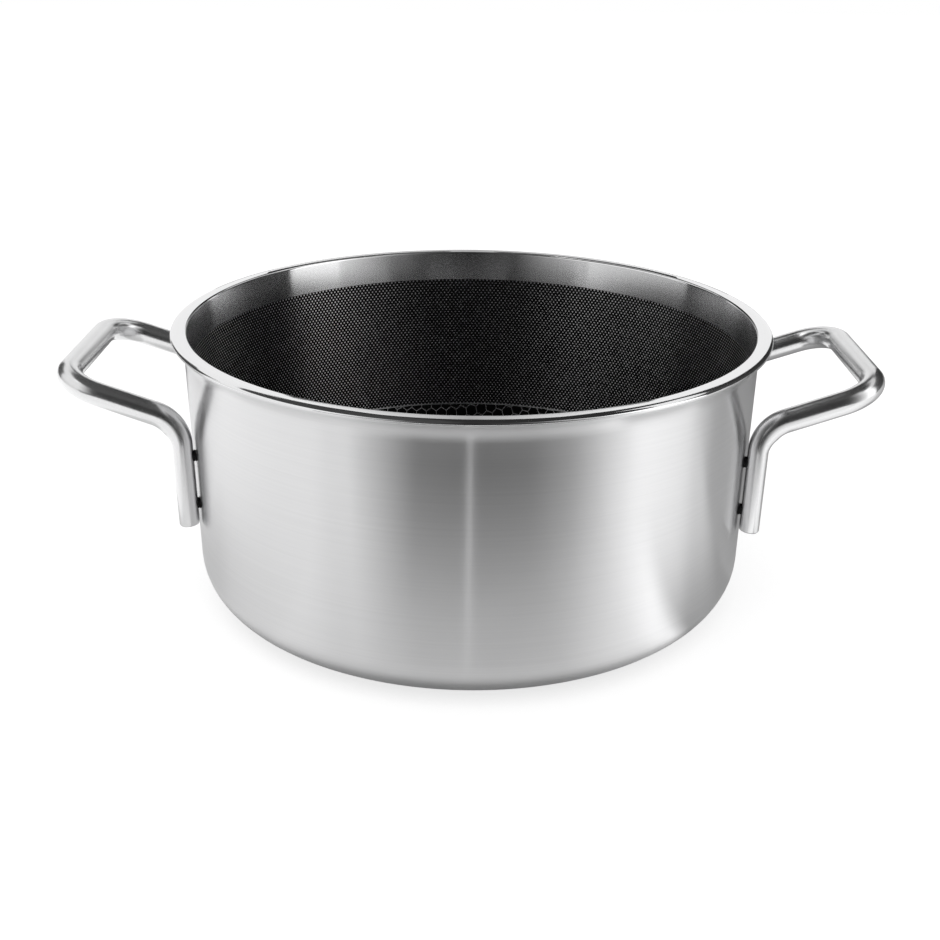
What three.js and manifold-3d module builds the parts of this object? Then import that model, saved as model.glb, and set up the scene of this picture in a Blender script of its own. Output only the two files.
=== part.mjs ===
// Round two-handled cooking pot without a lid.
// The bowl is clad sheet: a steel shell outside, an aluminium core that spreads the heat and a
// steel liner inside, which carries a dark non-stick coat. Each handle is one bent steel rod, held
// a hair's breadth off the wall by four welds, two on each of its legs.
// Millimetres, +Z up. The origin is the centre of the base, on the surface that the pot stands on,
// and the handles point along -X and +X.
import * as THREE from 'three';
import { mergeVertices } from 'three/addons/utils/BufferGeometryUtils.js';
import Module from 'manifold-3d';

// Bowl
const INNER_DIAMETER = 240; // clear width at the top of the wall, below the rim's bend
const POT_HEIGHT = 120.7;
const WALL_TAPER_DEG = 0.94; // the wall leans outwards on its way up
const BASE_CORNER_RADIUS = 20.5; // on the outer surface
const SHELL_THICKNESS = 0.6;
const CORE_THICKNESS = 1.2;
const LINER_THICKNESS = 0.6;
const BOND_GAP = 0.05; // between the bonded faces of two layers
const COAT_THICKNESS = 0.25; // let into the liner, so that the coat ends flush
const COAT_TOP_DROP = 14.1; // bare polished steel shows above the coat, down from the rim's top

// Rim
const RIM_BEND_RADIUS = 0.5; // on the outer surface, where the wall turns into the lip
const RIM_OVERHANG = 5.1; // the lip's edge past the top of the wall

// Handles
const ROD_DIAMETER = 10;
const LEG_GAP = 0.7; // clear space between a leg and the wall
const LEG_FLAT_DEPTH = 1.6; // pressed into the outer side of a leg, up to its bend
const LEG_SPACING = 86; // between the axes of a handle's two legs, at their lower ends
const LEG_END_DROP = 79.3; // heights on the handle are measured down from the rim's top
const ARM_ROOT_DROP = 33.1; // where a leg's axis meets its arm's axis
const GRIP_DROP = 16.9;
const GRIP_SPACING = 84.5; // between the axes of the two arms, where they meet the grip
const GRIP_PROJECTION = 39.8; // the grip's axis past the lip's edge
const FOOT_BEND_RADIUS = 14; // both bends on the rod's axis
const GRIP_BEND_RADIUS = 16.6;

// Welds
const WELD_DIAMETER = 4.5;
const WELD_END_DISTANCE = 8.7; // the lower weld, up from the leg's end
const WELD_PITCH = 21.5; // from the lower weld to the upper one
const WELD_CLEARANCE = 0.1; // between a weld and the two faces that it joins

// Roundness of the facets
const BOWL_SIDES = 56;
const CORNER_STEPS = 5;
const RIM_STEPS = 4;
const ROD_SIDES = 14;
const ROD_STEP = 4.5;
const WELD_SIDES = 14;
const SADDLE_SIDES = 64;

const UP = new THREE.Vector3(0, 0, 1);
const taper = THREE.MathUtils.degToRad(WALL_TAPER_DEG);
const coreDepth = SHELL_THICKNESS + BOND_GAP;
const linerDepth = coreDepth + CORE_THICKNESS + BOND_GAP;
const sheet = linerDepth + LINER_THICKNESS;
const coatTop = POT_HEIGHT - COAT_TOP_DROP;
const rodRadius = ROD_DIAMETER / 2;

// Section of the bowl in the plane of radius and height. The wall's outer surface runs from the
// base corner, an arc round cornerCentre, to the rim's bend, an arc round bendCentre.
const wallNormal = new THREE.Vector2(Math.cos(taper), -Math.sin(taper));
const wallTopRadius = INNER_DIAMETER / 2 + sheet * wallNormal.x;
const bendCentre = new THREE.Vector2(
  wallTopRadius + RIM_BEND_RADIUS * wallNormal.x,
  POT_HEIGHT - sheet - RIM_BEND_RADIUS,
);
const wallTopHeight = bendCentre.y - RIM_BEND_RADIUS * wallNormal.y;
const cornerCentre = new THREE.Vector2(
  wallRadius(BASE_CORNER_RADIUS) - BASE_CORNER_RADIUS / wallNormal.x,
  BASE_CORNER_RADIUS,
);
const lipRadius = wallTopRadius + RIM_OVERHANG;
const lipFlatEnd = lipRadius - sheet / 2;

/** Outer radius of the straight wall at a height. */
function wallRadius(height) {
  return wallTopRadius - (wallTopHeight - height) * Math.tan(taper);
}

/** Points on an arc of the section, both ends included. */
function arc(centre, radius, from, to, steps) {
  return Array.from({ length: steps + 1 }, (_, step) => {
    const angle = THREE.MathUtils.lerp(from, to, step / steps);
    return new THREE.Vector2(
      centre.x + radius * Math.cos(angle),
      centre.y + radius * Math.sin(angle),
    );
  });
}

/** Floor and base corner of the surface that lies a depth inside the outer one. */
function floorPoints(depth) {
  const corner = arc(cornerCentre, BASE_CORNER_RADIUS - depth, -Math.PI / 2, -taper, CORNER_STEPS);
  return [new THREE.Vector2(0, depth), ...corner];
}

/** Rim's bend of that surface, and the lip's flat up to a radius. */
function rimPoints(depth, flatEnd) {
  const radius = RIM_BEND_RADIUS + depth;
  const bend = arc(bendCentre, radius, Math.PI - taper, Math.PI / 2, RIM_STEPS);
  return [...bend, new THREE.Vector2(flatEnd, bendCentre.y + radius)];
}

/** Point of that surface on the straight wall, at a height. */
function wallPoint(depth, height) {
  return new THREE.Vector2(wallRadius(height) - depth / wallNormal.x, height);
}

/** Whole surface from the axis to the end of the lip's flat. */
function sheetPoints(depth, flatEnd) {
  return [...floorPoints(depth), ...rimPoints(depth, flatEnd)];
}

/** Surface from the axis to a height on the wall. */
function bowlPoints(depth, height) {
  return [...floorPoints(depth), wallPoint(depth, height)];
}

/** Body of revolution between an outer line and an inner line, both drawn from the axis up. */
function turnedBody(outerLine, innerLine) {
  const outline = [...outerLine, ...innerLine.toReversed()];
  return new THREE.LatheGeometry(outline, BOWL_SIDES).rotateX(Math.PI / 2);
}

/** Steel shell outside, hemmed round the edge of the lip. */
function shellGeometry() {
  const hemCentre = new THREE.Vector2(lipFlatEnd, POT_HEIGHT - sheet / 2);
  const hem = arc(hemCentre, sheet / 2, -Math.PI / 2, Math.PI / 2, RIM_STEPS);
  const outerLine = [...sheetPoints(0, lipFlatEnd), ...hem.slice(1)];
  return turnedBody(outerLine, sheetPoints(SHELL_THICKNESS, lipFlatEnd));
}

/** Aluminium core between the two steels. */
function coreGeometry() {
  const flatEnd = lipFlatEnd - BOND_GAP;
  return turnedBody(
    sheetPoints(coreDepth, flatEnd),
    sheetPoints(coreDepth + CORE_THICKNESS, flatEnd),
  );
}

/** Steel liner, bare at the rim and set back by the coat's thickness below it. */
function linerGeometry() {
  const flatEnd = lipFlatEnd - BOND_GAP;
  const recess = bowlPoints(sheet - COAT_THICKNESS - BOND_GAP, coatTop);
  const bareTop = [wallPoint(sheet, coatTop), ...rimPoints(sheet, flatEnd)];
  return turnedBody(sheetPoints(linerDepth, flatEnd), [...recess, ...bareTop]);
}

/** Non-stick coat on the floor, the corner and most of the wall. */
function coatGeometry() {
  const height = coatTop - BOND_GAP;
  return turnedBody(bowlPoints(sheet - COAT_THICKNESS, height), bowlPoints(sheet, height));
}

/** Round bend of a rod's axis, where two straight runs meet at a corner. */
class RodBend extends THREE.Curve {
  constructor(before, corner, after, radius) {
    super();
    this.radius = radius;
    this.heading = corner.clone().sub(before).normalize();
    const leaving = after.clone().sub(corner).normalize();
    this.turn = this.heading.angleTo(leaving);
    this.inward = leaving.addScaledVector(this.heading, -Math.cos(this.turn)).normalize();
    const setback = radius * Math.tan(this.turn / 2);
    this.centre = corner.clone().addScaledVector(this.heading, -setback);
    this.centre.addScaledVector(this.inward, radius);
  }

  getPoint(t, target = new THREE.Vector3()) {
    const angle = t * this.turn;
    target.copy(this.centre);
    target.addScaledVector(this.inward, -this.radius * Math.cos(angle));
    return target.addScaledVector(this.heading, this.radius * Math.sin(angle));
  }
}

/** Axis of a rod through its corners, with a bend of its own radius at each inner corner. */
function rodAxis(corners, bendRadii) {
  const axis = new THREE.CurvePath();
  let start = corners[0];
  bendRadii.forEach((radius, index) => {
    const bend = new RodBend(corners[index], corners[index + 1], corners[index + 2], radius);
    axis.add(new THREE.LineCurve3(start, bend.getPoint(0)));
    axis.add(bend);
    start = bend.getPoint(1);
  });
  axis.add(new THREE.LineCurve3(start, corners.at(-1)));
  return axis;
}

/** Square frame on the wall beside a leg: outward across the wall, along it, and up the leg. */
class LegFrame {
  constructor(side, end) {
    const endRadius = this.axisRadius(POT_HEIGHT - LEG_END_DROP);
    const offset = LEG_SPACING / 2;
    const reach = Math.sqrt(endRadius ** 2 - offset ** 2);
    this.radial = new THREE.Vector3(side * reach, end * offset, 0).normalize();
    this.outward = this.radial.clone().multiplyScalar(wallNormal.x);
    this.outward.addScaledVector(UP, wallNormal.y);
    this.along = new THREE.Vector3().crossVectors(UP, this.radial);
    this.upward = new THREE.Vector3().crossVectors(this.outward, this.along);
  }

  /** Distance of the leg's axis from the pot's axis, at a height of the leg's axis. */
  axisRadius(height) {
    return wallRadius(height) + (LEG_GAP + rodRadius) / wallNormal.x;
  }

  axisPoint(height) {
    return this.radial.clone().multiplyScalar(this.axisRadius(height)).addScaledVector(UP, height);
  }

  /** Point on the wall that faces the leg's axis, a distance up the leg from its end. */
  wallPoint(rise) {
    const point = this.axisPoint(POT_HEIGHT - LEG_END_DROP).addScaledVector(this.upward, rise);
    return point.addScaledVector(this.outward, -LEG_GAP - rodRadius);
  }
}

const wasm = await Module();
wasm.setup();

/** Solid for cutting, made from a closed geometry. */
function solidOf(geometry) {
  const bare = geometry.clone();
  bare.deleteAttribute('normal');
  bare.deleteAttribute('uv');
  const merged = mergeVertices(bare);
  return new wasm.Manifold(new wasm.Mesh({
    numProp: 3,
    vertProperties: merged.attributes.position.array,
    triVerts: new Uint32Array(merged.index.array),
  }));
}

/** Geometry of a cut solid. */
function geometryOf(solid) {
  const mesh = solid.getMesh();
  const geometry = new THREE.BufferGeometry();
  geometry.setAttribute('position', new THREE.BufferAttribute(mesh.vertProperties, 3));
  geometry.setIndex(new THREE.BufferAttribute(mesh.triVerts, 1));
  geometry.computeVertexNormals();
  return geometry;
}

/** Block that leaves the flat on the outer side of a leg, from below its end up to its bend. */
function flatCutter(frame, legLength) {
  const margin = ROD_DIAMETER;
  const block = new THREE.BoxGeometry(margin, ROD_DIAMETER + margin, legLength + margin);
  block.translate(rodRadius - LEG_FLAT_DEPTH + margin / 2, 0, (legLength - margin) / 2);
  const place = new THREE.Matrix4().makeBasis(frame.outward, frame.along, frame.upward);
  place.setPosition(frame.axisPoint(POT_HEIGHT - LEG_END_DROP));
  return block.applyMatrix4(place);
}

/** One handle: leg, arm, grip, arm and leg, bent from a single rod. */
function handleGeometry(side) {
  const front = new LegFrame(side, -1);
  const rear = new LegFrame(side, 1);
  const gripReach = side * (lipRadius + GRIP_PROJECTION);
  const gripHeight = POT_HEIGHT - GRIP_DROP;
  const corners = [
    front.axisPoint(POT_HEIGHT - LEG_END_DROP),
    front.axisPoint(POT_HEIGHT - ARM_ROOT_DROP),
    new THREE.Vector3(gripReach, -GRIP_SPACING / 2, gripHeight),
    new THREE.Vector3(gripReach, GRIP_SPACING / 2, gripHeight),
    rear.axisPoint(POT_HEIGHT - ARM_ROOT_DROP),
    rear.axisPoint(POT_HEIGHT - LEG_END_DROP),
  ];
  const bends = [FOOT_BEND_RADIUS, GRIP_BEND_RADIUS, GRIP_BEND_RADIUS, FOOT_BEND_RADIUS];
  const axis = rodAxis(corners, bends);
  const section = new THREE.Shape(
    arc(new THREE.Vector2(), rodRadius, 0, 2 * Math.PI, ROD_SIDES).slice(0, ROD_SIDES),
  );
  const rod = new THREE.ExtrudeGeometry(section, {
    extrudePath: axis,
    steps: Math.round(axis.getLength() / ROD_STEP),
  });
  const legLength = axis.curves[0].getLength();
  const round = solidOf(rod);
  const oneFlat = round.subtract(solidOf(flatCutter(front, legLength)));
  return geometryOf(oneFlat.subtract(solidOf(flatCutter(rear, legLength))));
}

/**
 * One weld: a short round post with a saddle for the rod. Its own X axis points out of the wall,
 * its Z axis runs up the leg, and its origin is on the wall.
 */
function weldGeometry() {
  const length = LEG_GAP + rodRadius - WELD_CLEARANCE;
  const post = new THREE.CylinderGeometry(
    WELD_DIAMETER / 2, WELD_DIAMETER / 2, length, WELD_SIDES,
  );
  post.rotateZ(-Math.PI / 2).translate(WELD_CLEARANCE + length / 2, 0, 0);
  const seatRadius = rodRadius + WELD_CLEARANCE;
  const rod = new THREE.CylinderGeometry(
    seatRadius, seatRadius, 2 * WELD_DIAMETER, SADDLE_SIDES,
  );
  rod.rotateX(Math.PI / 2).translate(LEG_GAP + rodRadius, 0, 0);
  return geometryOf(solidOf(post).subtract(solidOf(rod)));
}

const steel = { color: 0xb9bbbd, metalness: 1 };
const satinSteel = new THREE.MeshStandardMaterial({ ...steel, roughness: 0.38 });
const polishedSteel = new THREE.MeshStandardMaterial({ ...steel, roughness: 0.12 });
const rodSteel = new THREE.MeshStandardMaterial({ ...steel, roughness: 0.2 });
const weldSteel = new THREE.MeshStandardMaterial({ color: 0x1c1c1d, metalness: 0.6, roughness: 0.6 });
const aluminium = new THREE.MeshStandardMaterial({ color: 0xc9cbce, metalness: 1, roughness: 0.45 });
const nonStick = new THREE.MeshStandardMaterial({ color: 0x121212, metalness: 0, roughness: 0.5 });

/** Named mesh in its group. */
function addPiece(group, name, geometry, material) {
  const mesh = new THREE.Mesh(geometry, material);
  mesh.name = name;
  group.add(mesh);
  return mesh;
}

const pot = new THREE.Group();

const bowl = new THREE.Group();
addPiece(bowl, 'outer_shell', shellGeometry(), satinSteel);
addPiece(bowl, 'heat_core', coreGeometry(), aluminium);
addPiece(bowl, 'inner_liner', linerGeometry(), polishedSteel);
addPiece(bowl, 'nonstick_coat', coatGeometry(), nonStick);
pot.add(bowl);

const weld = weldGeometry();
const weldRises = { lower: WELD_END_DISTANCE, upper: WELD_END_DISTANCE + WELD_PITCH };
for (const [sideName, side] of Object.entries({ left: -1, right: 1 })) {
  const handle = new THREE.Group();
  addPiece(handle, `handle_${sideName}`, handleGeometry(side), rodSteel);
  for (const [endName, end] of Object.entries({ front: -1, rear: 1 })) {
    const frame = new LegFrame(side, end);
    const basis = new THREE.Matrix4().makeBasis(frame.outward, frame.along, frame.upward);
    for (const [heightName, rise] of Object.entries(weldRises)) {
      const mesh = addPiece(handle, `weld_${sideName}_${endName}_${heightName}`, weld, weldSteel);
      mesh.position.copy(frame.wallPoint(rise));
      mesh.quaternion.setFromRotationMatrix(basis);
    }
  }
  pot.add(handle);
}

export default pot;
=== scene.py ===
"""Looks of a round two-handled cooking pot without a lid.

The bowl is satin steel outside, with a polished lip. Inside it is black, with fine raised steel
dots on the wall and a raised steel honeycomb on the floor. Each handle is one bent steel rod on
dark welds. Metres, +Z up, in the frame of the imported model: the bowl stands on its origin and
turns about Z, the handles point along -X and +X, and the camera looks along +Y.
"""

import logging
import math
from collections.abc import Iterable
from dataclasses import dataclass
from enum import Enum
from typing import Any

import bmesh
import bpy
from mathutils import Matrix, Vector


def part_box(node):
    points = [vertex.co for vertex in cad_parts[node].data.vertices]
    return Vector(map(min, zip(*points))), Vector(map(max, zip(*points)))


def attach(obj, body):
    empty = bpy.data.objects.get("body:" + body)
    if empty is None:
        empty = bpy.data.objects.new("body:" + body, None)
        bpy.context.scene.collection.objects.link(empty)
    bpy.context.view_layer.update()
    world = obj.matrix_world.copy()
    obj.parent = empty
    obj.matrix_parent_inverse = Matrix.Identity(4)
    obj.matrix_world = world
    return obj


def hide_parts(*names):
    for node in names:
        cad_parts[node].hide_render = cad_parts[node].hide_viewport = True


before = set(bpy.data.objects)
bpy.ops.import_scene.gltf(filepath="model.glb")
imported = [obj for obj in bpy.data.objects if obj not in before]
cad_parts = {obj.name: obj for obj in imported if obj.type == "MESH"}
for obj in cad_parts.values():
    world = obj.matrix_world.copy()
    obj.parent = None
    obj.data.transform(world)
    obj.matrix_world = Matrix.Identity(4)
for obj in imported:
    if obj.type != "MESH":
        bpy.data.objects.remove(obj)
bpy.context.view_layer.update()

MM = 0.001
BODY = "root"
UP = Vector((0.0, 0.0, 1.0))
SECTION_NORMAL = (0.0, -1.0, 0.0)
WHITE = (1.0, 1.0, 1.0, 1.0)
MERGE = 1e-7
MIRROR_MERGE = 10 * MERGE

log = logging.getLogger("pot")


def only(parts: Iterable[Any], kind: type) -> list[Any]:
    """Picks the parts of one kind, in their order."""
    return [part for part in parts if isinstance(part, kind)]


def square_to(lean: float) -> Vector:
    """Gives the way out, as radius and height, from a line that leans away from the axis."""
    return Vector((math.cos(lean), -math.sin(lean)))


def mesh_data(name: str, mesh: bmesh.types.BMesh) -> bpy.types.Mesh:
    """Turns a finished bmesh into mesh data.

    Args:
        name: the data's name.
        mesh: the shape, in place. It is freed.

    Returns:
        The data.
    """
    data = bpy.data.meshes.new(name)
    mesh.to_mesh(data)
    mesh.free()
    return data


def add_object(name: str, data: bpy.types.ID) -> bpy.types.Object:
    """Adds an object to the scene, at the origin.

    Args:
        name: the object's name.
        data: its mesh, camera or light.

    Returns:
        The object.
    """
    made = bpy.data.objects.new(name, data)
    bpy.context.scene.collection.objects.link(made)
    return made


class Slot(Enum):
    """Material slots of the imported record."""

    SATIN = "satin_steel"
    CORE = "core_aluminium"
    POLISHED = "polished_steel"
    NONSTICK = "nonstick"
    ROD = "rod_steel"
    WELD = "weld_steel"


class Side(Enum):
    """The two handles, by the sign of X."""

    LEFT = -1
    RIGHT = 1


class End(Enum):
    """The two legs of a handle, by the sign of Y."""

    FRONT = -1
    REAR = 1


class Level(Enum):
    """The two welds on a leg."""

    LOWER = "lower"
    UPPER = "upper"


class Wiring:
    """Adds and links the nodes of one tree."""

    def __init__(self, tree: bpy.types.NodeTree) -> None:
        """Takes the tree of a material, a world or a node group."""
        self.tree = tree

    def node(
        self, kind: str, values: dict[str, Any] | None = None, **options: Any
    ) -> bpy.types.Node:
        """Adds a node.

        Args:
            kind: the node's type name.
            values: values of its input sockets, by name.
            options: its other settings.

        Returns:
            The new node.
        """
        made = self.tree.nodes.new(kind)
        for name, option in options.items():
            setattr(made, name, option)
        for socket, value in (values or {}).items():
            made.inputs[socket].default_value = value
        return made

    def link(self, source: bpy.types.NodeSocket, target: bpy.types.NodeSocket) -> None:
        """Links an output to an input."""
        self.tree.links.new(source, target)

    def math(self, operation: str, first: Any, second: Any) -> bpy.types.NodeSocket:
        """Adds a Math node on two sockets or numbers.

        Args:
            operation: the node's operation.
            first: a socket or a number.
            second: a socket or a number.

        Returns:
            The result's socket.
        """
        made = self.node("ShaderNodeMath", operation=operation)
        for place, term in enumerate((first, second)):
            if isinstance(term, bpy.types.NodeSocket):
                self.link(term, made.inputs[place])
            else:
                made.inputs[place].default_value = term
        return made.outputs[0]

    def spread(self, mask: bpy.types.NodeSocket, low: float, high: float) -> bpy.types.NodeSocket:
        """Maps a mask of 0 to 1 onto a range.

        Args:
            mask: the mask's socket.
            low: value where the mask is 0.
            high: value where the mask is 1.

        Returns:
            The result's socket.
        """
        return self.math("ADD", self.math("MULTIPLY", mask, high - low), low)

    def bump(self, height: bpy.types.NodeSocket, depth: float) -> bpy.types.NodeSocket:
        """Adds a Bump node.

        Args:
            height: a mask of 0 to 1.
            depth: the relief's depth in metres.

        Returns:
            The normal's socket.
        """
        made = self.node("ShaderNodeBump", {"Strength": 1.0, "Distance": depth})
        self.link(height, made.inputs["Height"])
        return made.outputs["Normal"]


class EffectGroup:
    """Shader node groups that several finishes share, each built at its first use."""

    @staticmethod
    def _start(name: str, inputs: dict[str, float], output: str) -> tuple[Wiring, Any, Any]:
        """Starts a group with number inputs and one number output.

        Args:
            name: the group's name.
            inputs: names and defaults of its inputs.
            output: name of its output.

        Returns:
            The wiring, the group's input node and its output node.
        """
        tree = bpy.data.node_groups.new(name, "ShaderNodeTree")
        for label, default in inputs.items():
            socket = tree.interface.new_socket(label, in_out="INPUT", socket_type="NodeSocketFloat")
            socket.default_value = default
        tree.interface.new_socket(output, in_out="OUTPUT", socket_type="NodeSocketFloat")
        wiring = Wiring(tree)
        return wiring, wiring.node("NodeGroupInput"), wiring.node("NodeGroupOutput")

    @classmethod
    def turned_grain(cls) -> bpy.types.NodeTree:
        """Fine lines round the axis: level lines on the wall, rings on the base."""
        name = "turned_grain"
        if name in bpy.data.node_groups:
            return bpy.data.node_groups[name]
        inputs = {"Lines Per Metre": 1000.0, "Breaks Per Metre": 10.0}
        wiring, given, made = cls._start(name, inputs, "Lines")
        place = wiring.node("ShaderNodeTexCoord").outputs["Object"]
        split = wiring.node("ShaderNodeSeparateXYZ")
        wiring.link(place, split.inputs[0])
        squares = [wiring.math("POWER", split.outputs[axis], 2.0) for axis in ("X", "Y")]
        radius = wiring.math("SQRT", wiring.math("ADD", *squares), 0.0)
        path = wiring.math("ADD", radius, split.outputs["Z"])
        vector = wiring.node("ShaderNodeCombineXYZ")
        for axis in ("X", "Y"):
            breaks = wiring.math("MULTIPLY", split.outputs[axis], given.outputs["Breaks Per Metre"])
            wiring.link(breaks, vector.inputs[axis])
        lines = wiring.math("MULTIPLY", path, given.outputs["Lines Per Metre"])
        wiring.link(lines, vector.inputs["Z"])
        noise = wiring.node("ShaderNodeTexNoise", {"Scale": 1.0, "Detail": 3.0, "Roughness": 0.6})
        wiring.link(vector.outputs[0], noise.inputs["Vector"])
        wiring.link(noise.outputs["Fac"], made.inputs["Lines"])
        return wiring.tree

    @classmethod
    def soft_haze(cls) -> bpy.types.NodeTree:
        """Soft cloudy marks left by wiping and handling."""
        name = "soft_haze"
        if name in bpy.data.node_groups:
            return bpy.data.node_groups[name]
        wiring, given, made = cls._start(name, {"Clouds Per Metre": 30.0, "Contrast": 1.0}, "Haze")
        place = wiring.node("ShaderNodeTexCoord").outputs["Object"]
        clouds = {"Detail": 4.0, "Roughness": 0.55, "Distortion": 0.4}
        noise = wiring.node("ShaderNodeTexNoise", clouds)
        wiring.link(place, noise.inputs["Vector"])
        wiring.link(given.outputs["Clouds Per Metre"], noise.inputs["Scale"])
        centred = wiring.math("SUBTRACT", noise.outputs["Fac"], 0.5)
        steeper = wiring.math("MULTIPLY", centred, given.outputs["Contrast"])
        wiring.link(wiring.math("ADD", steeper, 0.5), made.inputs["Haze"])
        return wiring.tree

    @classmethod
    def fine_speckle(cls) -> bpy.types.NodeTree:
        """Small even grain, as on a sprayed coat, a blasted face or an oxide."""
        name = "fine_speckle"
        if name in bpy.data.node_groups:
            return bpy.data.node_groups[name]
        wiring, given, made = cls._start(name, {"Grains Per Metre": 2500.0}, "Speckle")
        place = wiring.node("ShaderNodeTexCoord").outputs["Object"]
        noise = wiring.node("ShaderNodeTexNoise", {"Detail": 2.0, "Roughness": 0.7})
        wiring.link(place, noise.inputs["Vector"])
        wiring.link(given.outputs["Grains Per Metre"], noise.inputs["Scale"])
        wiring.link(noise.outputs["Fac"], made.inputs["Speckle"])
        return wiring.tree


@dataclass(frozen=True)
class Finish:
    """A surface finish, built as one material at its first use."""

    name: str
    color: tuple[float, float, float]

    MIX_DARK, MIX_FULL, MIX_RESULT = 6, 7, 2

    def material(self) -> bpy.types.Material:
        """Gives the finish's material, built once.

        Returns:
            The material.
        """
        if self.name in bpy.data.materials:
            return bpy.data.materials[self.name]
        made = bpy.data.materials.new(self.name)
        made.use_nodes = True
        wiring = Wiring(made.node_tree)
        shader = made.node_tree.nodes["Principled BSDF"]
        shader.inputs["Base Color"].default_value = (*self.color, 1.0)
        self.dress(wiring, shader)
        return made

    def dress(self, wiring: Wiring, shader: bpy.types.Node) -> None:
        """Sets the shader's other sockets. Each kind of finish has its own."""
        raise NotImplementedError

    def effect(
        self, wiring: Wiring, tree: bpy.types.NodeTree, **values: float
    ) -> bpy.types.NodeSocket:
        """Places a shared effect in this finish.

        Args:
            wiring: the material's wiring.
            tree: the effect's node group.
            values: the effect's inputs, with _ for each space.

        Returns:
            The effect's output socket.
        """
        group = wiring.node("ShaderNodeGroup", node_tree=tree)
        for label, value in values.items():
            group.inputs[label.replace("_", " ")].default_value = value
        return group.outputs[0]

    def tint(
        self,
        wiring: Wiring,
        shader: bpy.types.Node,
        mask: bpy.types.NodeSocket,
        darkest: float,
    ) -> None:
        """Varies the base colour a little with a mask.

        Args:
            wiring: the material's wiring.
            shader: the material's shader.
            mask: 0 where the colour is darkest, 1 where it is as written.
            darkest: share of the colour that is left where the mask is 0.
        """
        mix = wiring.node("ShaderNodeMix", data_type="RGBA")
        dark = tuple(part * darkest for part in self.color)
        mix.inputs[self.MIX_DARK].default_value = (*dark, 1.0)
        mix.inputs[self.MIX_FULL].default_value = (*self.color, 1.0)
        wiring.link(mask, mix.inputs[0])
        wiring.link(mix.outputs[self.MIX_RESULT], shader.inputs["Base Color"])


@dataclass(frozen=True)
class TurnedSteel(Finish):
    """Steel worked while the bowl turns, so its lines run round: satin or polished."""

    roughness: tuple[float, float] = (0.3, 0.4)
    anisotropy: float = 1.0
    lines_per_metre: float = 900.0
    breaks_per_metre: float = 9.0
    line_depth: float = 0.004 * MM
    clouds_per_metre: float = 18.0
    haze_contrast: float = 1.3
    darkest: float = 0.9

    QUARTER_TURN = 0.25

    def dress(self, wiring: Wiring, shader: bpy.types.Node) -> None:
        """Adds the lines to colour, roughness and relief, and a soft haze to the roughness."""
        shader.inputs["Metallic"].default_value = 1.0
        shader.inputs["Anisotropic"].default_value = self.anisotropy
        shader.inputs["Anisotropic Rotation"].default_value = self.QUARTER_TURN
        lines = self.effect(
            wiring,
            EffectGroup.turned_grain(),
            Lines_Per_Metre=self.lines_per_metre,
            Breaks_Per_Metre=self.breaks_per_metre,
        )
        haze = self.effect(
            wiring,
            EffectGroup.soft_haze(),
            Clouds_Per_Metre=self.clouds_per_metre,
            Contrast=self.haze_contrast,
        )
        both = wiring.math("MULTIPLY", wiring.math("ADD", lines, haze), 0.5)
        wiring.link(wiring.spread(both, *self.roughness), shader.inputs["Roughness"])
        wiring.link(wiring.bump(lines, self.line_depth), shader.inputs["Normal"])
        self.tint(wiring, shader, lines, self.darkest)


@dataclass(frozen=True)
class RodSteel(Finish):
    """Nearly polished steel of the handles, with a fine grain and finger haze."""

    roughness: tuple[float, float] = (0.18, 0.28)
    grains_per_metre: float = 1400.0
    grain_depth: float = 0.003 * MM
    clouds_per_metre: float = 70.0
    haze_contrast: float = 1.5
    darkest: float = 0.92

    def dress(self, wiring: Wiring, shader: bpy.types.Node) -> None:
        """Adds the grain to colour and relief, and the haze to the roughness."""
        shader.inputs["Metallic"].default_value = 1.0
        speckle = EffectGroup.fine_speckle()
        grain = self.effect(wiring, speckle, Grains_Per_Metre=self.grains_per_metre)
        haze = self.effect(
            wiring,
            EffectGroup.soft_haze(),
            Clouds_Per_Metre=self.clouds_per_metre,
            Contrast=self.haze_contrast,
        )
        wiring.link(wiring.spread(haze, *self.roughness), shader.inputs["Roughness"])
        wiring.link(wiring.bump(grain, self.grain_depth), shader.inputs["Normal"])
        self.tint(wiring, shader, grain, self.darkest)


@dataclass(frozen=True)
class DarkCoat(Finish):
    """Black sprayed coat or dark oxide, with a fine speckle."""

    roughness: tuple[float, float] = (0.4, 0.55)
    grains_per_metre: float = 2600.0
    grain_depth: float = 0.02 * MM
    darkest: float = 0.4
    metallic: float = 0.0
    specular: float = 0.2

    def dress(self, wiring: Wiring, shader: bpy.types.Node) -> None:
        """Adds the speckle to colour, roughness and relief."""
        shader.inputs["Metallic"].default_value = self.metallic
        shader.inputs["Specular IOR Level"].default_value = self.specular
        grains = EffectGroup.fine_speckle()
        speckle = self.effect(wiring, grains, Grains_Per_Metre=self.grains_per_metre)
        wiring.link(wiring.spread(speckle, *self.roughness), shader.inputs["Roughness"])
        wiring.link(wiring.bump(speckle, self.grain_depth), shader.inputs["Normal"])
        self.tint(wiring, shader, speckle, self.darkest)


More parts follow.
